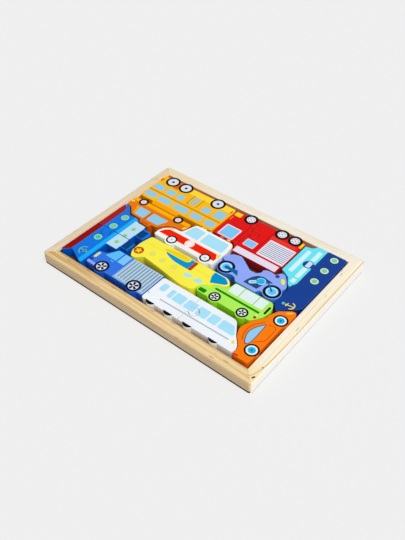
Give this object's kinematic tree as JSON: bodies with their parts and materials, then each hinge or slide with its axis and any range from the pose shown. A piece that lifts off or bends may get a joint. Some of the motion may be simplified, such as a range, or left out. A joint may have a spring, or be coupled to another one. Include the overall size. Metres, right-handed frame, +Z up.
{
  "type": "vehicle tray puzzle",
  "caption": "Mitred wooden tray filled with thick painted vehicle shapes that lift straight out; the larger vehicles part into halves at a round jigsaw knob.",
  "frame": {"origin": "centre of the tray's footprint on the table", "axes": "+X along the front rail to the right, +Y from the front rail to the back rail, +Z up out of the tray"},
  "size_m": [0.3, 0.222, 0.0185],
  "materials": {
    "rail_wood_tan": "bare, sanded smooth",
    "rail_wood_pale": "bare, sanded smooth",
    "panel_wood": "bare, sanded smooth",
    "amber_paint": "satin paint with printed details",
    "orange_paint": "satin paint with printed details",
    "white_paint": "satin paint with printed details",
    "yellow_paint": "satin paint with printed details",
    "periwinkle_paint": "satin paint with printed details",
    "lime_paint": "satin paint with printed details",
    "blue_paint": "satin paint with printed details",
    "car_orange_paint": "satin paint with printed details",
    "red_paint": "satin paint with printed details",
    "ship_blue_paint": "satin paint with printed details",
    "cyan_paint": "satin paint with printed details",
    "navy_paint": "satin paint with printed details"
  },
  "bodies": {
    "tray": {"rail_front": "rail_wood_tan", "rail_back": "rail_wood_pale", "rail_left": "rail_wood_pale", "rail_right": "rail_wood_pale", "base_panel": "panel_wood"},
    "bus": {"bus": "amber_paint"},
    "taxi": {"taxi": "orange_paint"},
    "ambulance": {"ambulance": "white_paint"},
    "plane": {"plane": "yellow_paint"},
    "motorcycle": {"motorcycle": "periwinkle_paint"},
    "minibus": {"minibus": "lime_paint"},
    "pickup": {"pickup": "blue_paint"},
    "car": {"car": "car_orange_paint"},
    "fire_truck_cab": {"fire_truck_cab": "red_paint"},
    "fire_truck_body": {"fire_truck_body": "red_paint"},
    "train_rear": {"train_rear": "white_paint"},
    "train_front": {"train_front": "white_paint"},
    "ship_stern": {"ship_stern": "ship_blue_paint"},
    "ship_bow": {"ship_bow": "ship_blue_paint"},
    "boat_cabin": {"boat_cabin": "cyan_paint"},
    "boat_hull": {"boat_hull": "navy_paint"}
  },
  "joints": [
    {"name": "lift_bus", "type": "slide", "parent": "tray", "child": "bus", "axis": [0, 0, 1], "range_m": [0, 0.03]},
    {"name": "lift_taxi", "type": "slide", "parent": "tray", "child": "taxi", "axis": [0, 0, 1], "range_m": [0, 0.03]},
    {"name": "lift_ambulance", "type": "slide", "parent": "tray", "child": "ambulance", "axis": [0, 0, 1], "range_m": [0, 0.03]},
    {"name": "lift_plane", "type": "slide", "parent": "tray", "child": "plane", "axis": [0, 0, 1], "range_m": [0, 0.03]},
    {"name": "lift_motorcycle", "type": "slide", "parent": "tray", "child": "motorcycle", "axis": [0, 0, 1], "range_m": [0, 0.03]},
    {"name": "lift_minibus", "type": "slide", "parent": "tray", "child": "minibus", "axis": [0, 0, 1], "range_m": [0, 0.03]},
    {"name": "lift_pickup", "type": "slide", "parent": "tray", "child": "pickup", "axis": [0, 0, 1], "range_m": [0, 0.03]},
    {"name": "lift_car", "type": "slide", "parent": "tray", "child": "car", "axis": [0, 0, 1], "range_m": [0, 0.03]},
    {"name": "lift_fire_truck_cab", "type": "slide", "parent": "tray", "child": "fire_truck_cab", "axis": [0, 0, 1], "range_m": [0, 0.03]},
    {"name": "lift_fire_truck_body", "type": "slide", "parent": "tray", "child": "fire_truck_body", "axis": [0, 0, 1], "range_m": [0, 0.03]},
    {"name": "lift_train_rear", "type": "slide", "parent": "tray", "child": "train_rear", "axis": [0, 0, 1], "range_m": [0, 0.03]},
    {"name": "lift_train_front", "type": "slide", "parent": "tray", "child": "train_front", "axis": [0, 0, 1], "range_m": [0, 0.03]},
    {"name": "lift_ship_stern", "type": "slide", "parent": "tray", "child": "ship_stern", "axis": [0, 0, 1], "range_m": [0, 0.03]},
    {"name": "lift_ship_bow", "type": "slide", "parent": "tray", "child": "ship_bow", "axis": [0, 0, 1], "range_m": [0, 0.03]},
    {"name": "lift_boat_cabin", "type": "slide", "parent": "tray", "child": "boat_cabin", "axis": [0, 0, 1], "range_m": [0, 0.03]},
    {"name": "lift_boat_hull", "type": "slide", "parent": "tray", "child": "boat_hull", "axis": [0, 0, 1], "range_m": [0, 0.03]}
  ]
}
